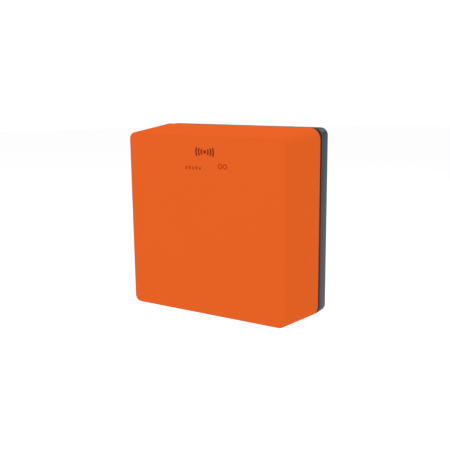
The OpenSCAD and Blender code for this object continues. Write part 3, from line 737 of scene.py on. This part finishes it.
def add_bar(bm, foot, half_size, sink):
    """A rib that stands towards +Y on a wall, narrower at its top; foot is the middle of its base."""
    hx, hz, height = half_size
    taper = 0.25 * MM
    rings = []
    for y, inset in ((foot[1] - sink, 0), (foot[1] + height * 0.8, taper), (foot[1] + height, taper * 2)):
        rings.append([(foot[0] + sx * (hx - inset), y, foot[2] + sz * (hz - inset))
                      for sx, sz in ((-1, -1), (1, -1), (1, 1), (-1, 1))])
    add_loft(bm, rings)


def add_plate(bm, points):
    """A thin printed shape on the cover's front, from its outline as (x, z) points."""
    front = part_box("front_cover")[0].y
    add_loft(bm, [[(x, y, z) for x, z in points] for y in (front - PRINT_PROUD, front + PRINT_PROUD)])


def add_arc(bm, centre, radius, thick, start, end):
    """A printed arc of even thickness, between two angles in degrees."""
    outer = arc_points(radius + thick / 2, start, end, 18, centre)
    inner = arc_points(radius - thick / 2, end, start, 18, centre)
    add_plate(bm, outer + inner)


def build_cover_mark():
    """A plain printed sign for sending out waves: a dot between nested arcs. It spells nothing."""
    centre = (2.7 * MM, 82 * MM)
    dot, thick = 1.9 * MM, 1.9 * MM
    bm = bmesh.new()
    for radius, reach in ((4.4 * MM, 38), (7.8 * MM, 29), (11.2 * MM, 24)):
        for side in (0, 180):
            add_arc(bm, centre, radius, thick, side - reach, side + reach)
    add_plate(bm, circle_points(dot, 24, centre))
    add_print("cover_mark", bm, "mark_ink")


def build_cover_labels():
    """Plain bars and rings printed below the mark."""
    bar_w, bar_h, bar_step = 2.6 * MM, 4.0 * MM, 4.5 * MM
    bars_x, bars_z = -23 * MM, 62.5 * MM
    ring_r, ring_thick, ring_step = 2.3 * MM, 1.3 * MM, 6.2 * MM
    rings_x, rings_z = 22 * MM, 67.5 * MM
    bm = bmesh.new()
    for i in range(5):
        x, top = bars_x + bar_step * i, bars_z + bar_h * (1 if i % 2 else 0.75)
        add_plate(bm, [(x, bars_z), (x + bar_w, bars_z), (x + bar_w, top), (x, top)])
    for i in range(2):
        for start in (0, 180):
            add_arc(bm, (rings_x + ring_step * i, rings_z), ring_r, ring_thick, start, start + 180)
    add_print("cover_labels", bm, "label_ink")


def add_print(name, bm, ink):
    """Makes a printed piece that rides on the cover's body, with its own ink."""
    bmesh.ops.recalc_face_normals(bm, faces=bm.faces)
    piece = mesh_object(name, bm)
    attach(piece, "cover")
    piece.data.materials.append(material_for(ink))


def build_cover_gasket():
    """The square gasket: a flat strip with a bulging outer side and two lips on the face that seals."""
    low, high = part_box("cover_gasket")
    inner = high.x - GASKET_STRIP
    lip, bulge = 0.7 * MM, 1.5 * MM
    body = high.y - low.y - lip
    section = [(low.y, GASKET_STRIP)]
    for i in range(1, 8):
        section.append((low.y + body * i / 8, GASKET_STRIP + bulge * math.sin(math.pi * i / 8) ** 0.4))
    section.append((low.y + body, GASKET_STRIP))
    for i in range(17):
        swell = abs(math.sin(FULL_TURN * i / 16)) ** 0.6
        section.append((low.y + body + lip * swell, GASKET_STRIP * (1 - i / 16)))
    section += [(low.y + body * i / 3, 0.0) for i in (2, 1, 0)]
    bm = bmesh.new()
    add_closed_loft(bm, [square_ring(y, inner + out, 6 * MM + out * 0.55, 10) for y, out in section])
    finish_piece("gasket_strip", bm, ["cover_gasket"])


def build_cover_pad():
    """The foam pad on the inside of the cover, cut from sheet with soft edges and a low crown."""
    low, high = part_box("cover_pad")
    middle = (low + high) / 2
    half_x, half_z = (high.x - low.x) / 2, (high.z - low.z) / 2
    thick = high.y - low.y
    # Each step of the crown: its share of the thickness, and how far it is drawn in, in millimetres
    crown = ((0.00, 0.5), (0.08, 0.0), (0.50, 0.0), (0.72, 0.15), (0.84, 0.6), (0.92, 1.5), (0.97, 3.0),
             (0.99, 6.0), (1.00, 10.0), (1.00, 14.0))
    rings = [panel_ring(low.y + thick * share, half_x - inset * MM, half_z - inset * MM,
                        max(1.5, 5 - inset * 0.5) * MM, 8, (middle.x, middle.z)) for share, inset in crown]
    bm = bmesh.new()
    add_loft(bm, rings)
    piece = finish_piece("foam_pad", bm, ["cover_pad"], sharp=60.0)


def build_back_shell():
    """The back shell, with its rim, bosses and holes, every edge rounded."""
    add_refined("back_shell", bpy.context.scene.housing.shell_edge, segments=3)


# ---------------------------------------------------------------- fasteners

def add_screw(bm, head_end, inward, head_radius, head_height, shank_radius, length):
    """A button-head screw with a six-sided socket, from its crown's middle, driven along inward."""
    socket, flat, sixth = head_radius * 0.42, head_radius * 0.55, math.pi / 3
    profile = [(socket * 0.96, head_height * 0.75), (socket, head_height * 0.1), (flat, 0)]
    for i in range(1, 6):
        turn = QUARTER * i / 5
        profile.append((flat + (head_radius - flat) * math.sin(turn),
                        head_height * 0.85 * (1 - math.cos(turn))))
    profile += [(head_radius, head_height), (shank_radius, head_height),
                (shank_radius, length - shank_radius * 0.6), (shank_radius * 0.5, length)]

    def six_sided(angle, radius, height):
        in_socket = radius <= socket and height < head_height
        return radius / math.cos(angle % sixth - sixth / 2) if in_socket else radius

    add_lathe(bm, profile, head_end, inward, 36, six_sided)


def front_centre(low, high):
    """The middle of a box's front face, where what is turned about Y starts."""
    return ((low.x + high.x) / 2, low.y, (low.z + high.z) / 2)


def foot_centre(low, high):
    """The middle of a box's lower face, where what is turned about Z starts."""
    return ((low.x + high.x) / 2, (low.y + high.y) / 2, low.z)


def build_screw_set(node, inward, head_height, shank_radius, name):
    """Replaces a CAD node of plain screws with finished ones, driven along inward, which is an axis."""
    axis = max(range(3), key=lambda i: abs(inward[i]))
    bm = bmesh.new()
    for low, high in islands(node):
        start = (low + high) / 2
        start[axis] = low[axis] if inward[axis] > 0 else high[axis]
        across = [i for i in range(3) if i != axis][0]
        add_screw(bm, start, inward, (high[across] - low[across]) / 2, head_height, shank_radius,
                  high[axis] - low[axis])
    finish_piece(name, bm, [node])


# ---------------------------------------------------------------- hinges, latches, fixings

def build_hinges():
    """Both leaves of each hinge and their pins."""
    for node, width in (("hinge_base_leaves", 0.35), ("hinge_cover_leaves", 0.35), ("hinge_pins", 0.3)):
        add_refined(node, width * MM)
    build_screw_set("hinge_base_screws", X_AXIS, 1.4 * MM, 1.5 * MM, "base_leaf_screws")
    build_screw_set("hinge_cover_screws", X_AXIS, 1.4 * MM, 1.5 * MM, "cover_leaf_screws")


def build_latches():
    """The quarter-turn latches, their pivots and catches."""
    for node, width in (("latch_left", 0.4), ("latch_right", 0.4), ("latch_catches", 0.3)):
        add_refined(node, width * MM)
    build_screw_set("latch_pivots", Z_AXIS, 1.95 * MM, 2 * MM, "latch_pivot_screws")


def build_fixings():
    """The breather plug with its fluted head, and the grommets round the wall fixings."""
    low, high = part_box("vent_plug")
    length = high.z - low.z
    head, head_height = (high.x - low.x) / 2, 3 * MM
    stem = 3.2 * MM
    flutes, flute_depth = 10, 0.35 * MM
    profile = [(head * 0.35, 0.8 * MM), (head * 0.35, 0.2 * MM), (head * 0.45, 0), (head * 0.86, 0),
               (head * 0.985, 0.4 * MM), (head, 0.8 * MM), (head, 2.4 * MM), (head * 0.97, head_height),
               (stem, head_height), (stem, length - 0.5 * MM), (stem * 0.85, length)]

    def fluted(angle, radius, height):
        on_side = radius > head * 0.98 and height < head_height
        return radius - flute_depth * max(0.0, math.cos(flutes * angle)) ** 2 if on_side else radius

    bm = bmesh.new()
    add_lathe(bm, profile, foot_centre(low, high), steps=80, shape=fluted)
    finish_piece("breather_plug", bm, ["vent_plug"])
    add_refined("vent_nut", 0.25 * MM)
    bm = bmesh.new()
    for low, high in islands("fixing_grommets"):
        centre = ((low.x + high.x) / 2, (low.z + high.z) / 2)
        outer, soft, thick = (high.x - low.x) / 2, 0.3 * MM, high.y - low.y
        section = ((outer - soft, 0), (outer, soft), (outer, thick), (GROMMET_BORE, thick),
                   (GROMMET_BORE, soft), (GROMMET_BORE + soft, 0))
        add_closed_loft(bm, [[(x, low.y + depth, z) for x, z in circle_points(radius, 48, centre)]
                             for radius, depth in section])
    finish_piece("grommet_rings", bm, ["fixing_grommets"])


def build_cradle():
    """The cradle, its pads, magnet, keepers and screws."""
    add_refined("cradle", 0.6 * MM)
    add_refined("cradle_pads", 0.8 * MM, segments=3)
    add_refined("inhibit_magnet", 0.4 * MM)
    build_screw_set("cradle_screws", Y_AXIS, 2 * MM, 1.5 * MM, "cradle_fixing_screws")
    add_refined("keeper_left", 0.4 * MM)
    add_refined("keeper_right", 0.4 * MM)
    build_screw_set("keeper_screws", Y_AXIS, 1.8 * MM, 1.5 * MM, "keeper_pivot_screws")


# ---------------------------------------------------------------- beacon

def build_beacon_shells():
    """The two moulded shells, their screws, contacts, tape and lanyard eye."""
    edge = bpy.context.scene.beacon.body_edge
    add_refined("beacon_front_shell", edge * 0.5, segments=3)
    add_refined("beacon_rear_shell", edge * 0.5, segments=3)
    build_screw_set("beacon_screws", Y_AXIS, 1.2 * MM, 0.85 * MM, "shell_screws")
    add_refined("reflective_bands", 0.1 * MM)
    add_refined("lanyard_eye", 0.5 * MM, segments=3)
    bm = bmesh.new()
    for low, high in islands("water_contacts"):
        head, stem, shoulder = (high.x - low.x) / 2, 2.5 * MM, 1.3 * MM
        profile = [(head * 0.18, 0.5 * MM), (head * 0.28, 0.1 * MM), (head * 0.45, 0),
                   (head * 0.8, 0.1 * MM), (head * 0.96, 0.4 * MM), (head, 0.8 * MM), (head, shoulder),
                   (stem, shoulder), (stem, high.y - low.y)]
        add_lathe(bm, profile, front_centre(low, high), Y_AXIS, steps=40)
    finish_piece("contact_studs", bm, ["water_contacts"])


def build_strobe():
    """The clear dome, fluted inside, over its seal, board and emitters."""
    settings = bpy.context.scene.beacon
    low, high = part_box("strobe_dome")
    middle = (low + high) / 2
    flange, flange_height, rise = (high.x - low.x) / 2, 2.2 * MM, 3 * MM
    radius = flange - rise
    inner_radius = radius - settings.dome_wall
    flute_depth, smooth_crown = 0.5 * MM, 6 * MM
    steps = settings.dome_flutes * 6
    outer = [(flange - 0.3 * MM, 0), (flange, 0.3 * MM), (flange, 1.8 * MM),
             (flange - 0.4 * MM, flange_height), (radius + 0.6 * MM, flange_height), (radius, 2.8 * MM)]
    outer += [(r, rise + z) for r, z in arc_points(radius, 2, 88, 22)]
    inner = [(r, rise + z) for r, z in arc_points(inner_radius, 88, 2, 22)] + [(inner_radius - 0.9 * MM, 0)]

    def fluted(angle, r):
        wave = abs(math.sin(settings.dome_flutes * angle / 2))
        return r if r < smooth_crown else r - flute_depth * wave * min(1.0, r / radius)

    bm = bmesh.new()
    loops = []
    for k, (r, z) in enumerate(outer + inner):
        ring = []
        for i in range(steps):
            angle = FULL_TURN * i / steps
            reach = fluted(angle, r) if k >= len(outer) else r
            ring.append(bm.verts.new((middle.x + reach * math.cos(angle), middle.y + reach * math.sin(angle),
                                      low.z + z)))
        loops.append(ring)
    outside, inside = loops[:len(outer)], loops[len(outer):]
    for side in (outside, inside):
        for a, b in zip(side, side[1:]):
            skin(bm, a, b)
    skin(bm, inside[-1], outside[0])
    bm.faces.new(outside[-1])
    bm.faces.new(inside[0])
    finish_piece("strobe_lens", bm, ["strobe_dome"], sharp=40.0)
    add_refined("dome_seal", 0.3 * MM)


def build_antenna():
    """The ribbed boot, the sprung blade and its clip."""
    ribs = bpy.context.scene.beacon.boot_ribs
    low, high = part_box("antenna_boot")
    base, foot, height = (high.x - low.x) / 2, 2 * MM, high.z - low.z
    wide, narrow, groove = 7.2 * MM, 5.7 * MM, 0.45 * MM
    profile = [(base - 0.3 * MM, 0), (base, 0.3 * MM), (base, 1.6 * MM), (base - 0.5 * MM, foot)]
    for i in range(ribs * 6 + 1):
        share = i / (ribs * 6)
        taper = wide + (narrow - wide) * share
        profile.append((taper - groove * (1 - math.cos(FULL_TURN * ribs * share)) / 2,
                        foot + (height - foot) * share))
    profile += [(2 * MM, height), (1 * MM, height - 0.5 * MM)]
    bm = bmesh.new()
    add_lathe(bm, profile, foot_centre(low, high))
    finish_piece("blade_boot", bm, ["antenna_boot"])
    add_refined("antenna_blade", 0.12 * MM)
    add_refined("antenna_clip", 0.5 * MM)


def build_controls():
    """The arming slider and the two dished buttons."""
    add_refined("arming_slider", 0.35 * MM)
    for node in ("activate_button", "test_button"):
        low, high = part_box(node)
        wide = (high.x - low.x) / 2
        cap, collar = wide - BUTTON_COLLAR, 4.1 * MM
        profile = [(cap * 0.12, 0.42 * MM), (cap * 0.4, 0.36 * MM), (cap * 0.62, 0.2 * MM),
                   (cap * 0.74, 0.05 * MM), (cap * 0.86, 0), (cap * 0.95, 0.15 * MM), (cap, 0.55 * MM),
                   (cap, collar), (wide, collar), (wide, collar + BUTTON_COLLAR),
                   (cap, collar + BUTTON_COLLAR), (cap, high.y - low.y)]
        bm = bmesh.new()
        add_lathe(bm, profile, front_centre(low, high), Y_AXIS, steps=56)
        finish_piece(node + "_cap", bm, [node])


def build_inner_parts():
    """Finishes for the CAD pieces whose shape stays: boards, cells and what is sealed in the beacon."""
    for node, piece in frame["nodes"].items():
        if not piece.hide_render:
            set_finish(piece, NODE_SLOT[node])


# ---------------------------------------------------------------- stage

def build_stage():
    """The pale floor, the soft light and the camera."""
    settings = bpy.context.scene.stage
    floor_z = CAD_BOX[0][2] - settings.floor_gap
    bm = bmesh.new()
    bmesh.ops.create_circle(bm, cap_ends=True, radius=settings.floor_size, segments=96,
                            matrix=Matrix.Translation((0, 0, floor_z)))
    floor = mesh_object("floor", bm)
    material, tree, shader = new_material("studio_white", 0.9, Specular_IOR_Level=0.0)
    tone = add_noise(tree, object_coordinates(tree), 3.0, 2.0)
    link_shader(tree, shader, add_mix(tree, tone, (0.955, 0.955, 0.958, 1), (0.965, 0.965, 0.965, 1)))
    floor.data.materials.append(material)

    world = bpy.data.worlds.new("studio_sky")
    world.use_nodes = True
    bpy.context.scene.world = world
    tree = world.node_tree
    background = tree.nodes["Background"]
    background.inputs["Color"].default_value = (1, 1, 1, 1)
    path = tree.nodes.new("ShaderNodeLightPath")
    dimming = add_math(tree, "MULTIPLY", path.outputs["Is Glossy Ray"], settings.gloss_sky - settings.sky)
    tree.links.new(add_math(tree, "ADD", dimming, settings.sky), background.inputs["Strength"])

    add_area_light("key_light", (-0.2, -0.8, 2.0), 1.5, settings.key)
    add_area_light("fill_light", (-0.8, -2.0, 0.3), 1.5, settings.fill)
    add_area_light("rim_light", (0.6, 2.45, 1.6), 0.8, settings.rim)
    add_camera(settings)

    view = bpy.context.scene.view_settings
    view.view_transform = "Standard"
    view.look = "None"
    view.exposure = 0.0
    view.gamma = 1.0


def add_area_light(name, place, size, power):
    """A round soft light that faces the origin."""
    light = bpy.data.lights.new(name, "AREA")
    light.shape = "DISK"
    light.size = size
    light.energy = power
    lamp = add_object(name, light)
    lamp.location = place
    lamp.rotation_euler = (-Vector(place)).to_track_quat("-Z", "Y").to_euler()


def add_camera(settings):
    """The camera, turned round its aim by the stage's angles."""
    aim = Vector((0, settings.aim_y, settings.aim_z))
    across = math.cos(settings.elevation)
    back = Vector((math.sin(settings.azimuth) * across, -math.cos(settings.azimuth) * across,
                   math.sin(settings.elevation)))
    camera = bpy.data.cameras.new("camera")
    camera.lens = settings.lens
    camera.sensor_width = 36
    camera.clip_start = 0.01
    eye = add_object("camera", camera)
    turn = back.to_track_quat("Z", "Y").to_matrix().to_4x4()
    eye.matrix_world = Matrix.Translation(aim + back * settings.distance) @ turn @ Matrix.Rotation(
        settings.roll, 4, "Z")
    bpy.context.scene.camera = eye


# ---------------------------------------------------------------- operators

class BEACON_OT_front_cover(bpy.types.Operator):
    """Build the orange cover"""
    bl_idname = "beacon.front_cover"
    bl_label = "Front Cover"

    def execute(self, context):
        build_front_cover()
        return {"FINISHED"}


class BEACON_OT_cover_mark(bpy.types.Operator):
    """Print the plain mark on the cover"""
    bl_idname = "beacon.cover_mark"
    bl_label = "Cover Mark"

    def execute(self, context):
        build_cover_mark()
        build_cover_labels()
        return {"FINISHED"}


class BEACON_OT_gasket_and_pad(bpy.types.Operator):
    """Build the gasket and the foam pad"""
    bl_idname = "beacon.gasket_and_pad"
    bl_label = "Gasket and Pad"

    def execute(self, context):
        build_cover_gasket()
        build_cover_pad()
        return {"FINISHED"}


class BEACON_OT_back_shell(bpy.types.Operator):
    """Build the grey back shell"""
    bl_idname = "beacon.back_shell"
    bl_label = "Back Shell"

    def execute(self, context):
        build_back_shell()
        return {"FINISHED"}


class BEACON_OT_hinges(bpy.types.Operator):
    """Build the hinges with their pins and screws"""
    bl_idname = "beacon.hinges"
    bl_label = "Hinges"

    def execute(self, context):
        build_hinges()
        return {"FINISHED"}


class BEACON_OT_latches(bpy.types.Operator):
    """Build the latches, pivots and catches"""
    bl_idname = "beacon.latches"
    bl_label = "Latches"

    def execute(self, context):
        build_latches()
        return {"FINISHED"}


class BEACON_OT_fixings(bpy.types.Operator):
    """Build the breather plug and the grommets"""
    bl_idname = "beacon.fixings"
    bl_label = "Plug and Grommets"

    def execute(self, context):
        build_fixings()
        return {"FINISHED"}


class BEACON_OT_cradle(bpy.types.Operator):
    """Build the cradle, pads, magnet and keepers"""
    bl_idname = "beacon.cradle"
    bl_label = "Cradle"

    def execute(self, context):
        build_cradle()
        return {"FINISHED"}


class BEACON_OT_beacon_shells(bpy.types.Operator):
    """Build the beacon's shells and what is fixed to them"""
    bl_idname = "beacon.beacon_shells"
    bl_label = "Beacon Shells"

    def execute(self, context):
        build_beacon_shells()
        return {"FINISHED"}


class BEACON_OT_strobe(bpy.types.Operator):
    """Build the strobe dome and its seal"""
    bl_idname = "beacon.strobe"
    bl_label = "Strobe"

    def execute(self, context):
        build_strobe()
        return {"FINISHED"}


class BEACON_OT_antenna(bpy.types.Operator):
    """Build the antenna blade, boot and clip"""
    bl_idname = "beacon.antenna"
    bl_label = "Antenna"

    def execute(self, context):
        build_antenna()
        return {"FINISHED"}


class BEACON_OT_controls(bpy.types.Operator):
    """Build the slider and the buttons"""
    bl_idname = "beacon.controls"
    bl_label = "Controls"

    def execute(self, context):
        build_controls()
        return {"FINISHED"}


class BEACON_OT_inner_parts(bpy.types.Operator):
    """Give every remaining CAD piece its finish"""
    bl_idname = "beacon.inner_parts"
    bl_label = "Inner Parts"

    def execute(self, context):
        build_inner_parts()
        return {"FINISHED"}


class BEACON_OT_stage(bpy.types.Operator):
    """Build the floor, lights and camera"""
    bl_idname = "beacon.stage"
    bl_label = "Stage"

    def execute(self, context):
        build_stage()
        return {"FINISHED"}


OPERATORS = (BEACON_OT_front_cover, BEACON_OT_cover_mark, BEACON_OT_gasket_and_pad, BEACON_OT_back_shell,
             BEACON_OT_hinges, BEACON_OT_latches, BEACON_OT_fixings, BEACON_OT_cradle,
             BEACON_OT_beacon_shells, BEACON_OT_strobe, BEACON_OT_antenna, BEACON_OT_controls,
             BEACON_OT_inner_parts, BEACON_OT_stage)


class BEACON_PT_panel(bpy.types.Panel):
    """Lists the build steps in order"""
    bl_label = "Beacon Housing"
    bl_idname = "BEACON_PT_panel"
    bl_space_type = "VIEW_3D"
    bl_region_type = "UI"
    bl_category = "Beacon"

    def draw(self, context):
        for settings in (context.scene.housing, context.scene.beacon, context.scene.stage):
            box = self.layout.box()
            for name in settings.__annotations__:
                box.prop(settings, name)
        for operator in OPERATORS:
            self.layout.operator(operator.bl_idname)


SETTINGS = {"housing": HousingSettings, "beacon": BeaconSettings, "stage": StageSettings}


def register():
    for cls in (*SETTINGS.values(), *OPERATORS, BEACON_PT_panel):
        bpy.utils.register_class(cls)
    for name, cls in SETTINGS.items():
        setattr(bpy.types.Scene, name, PointerProperty(type=cls))


def unregister():
    for name in SETTINGS:
        delattr(bpy.types.Scene, name)
    for cls in (BEACON_PT_panel, *reversed(OPERATORS), *SETTINGS.values()):
        bpy.utils.unregister_class(cls)


def main():
    register()
    for operator in OPERATORS:
        group, name = operator.bl_idname.split(".")
        getattr(getattr(bpy.ops, group), name)()


if __name__ == "__main__":
    main()
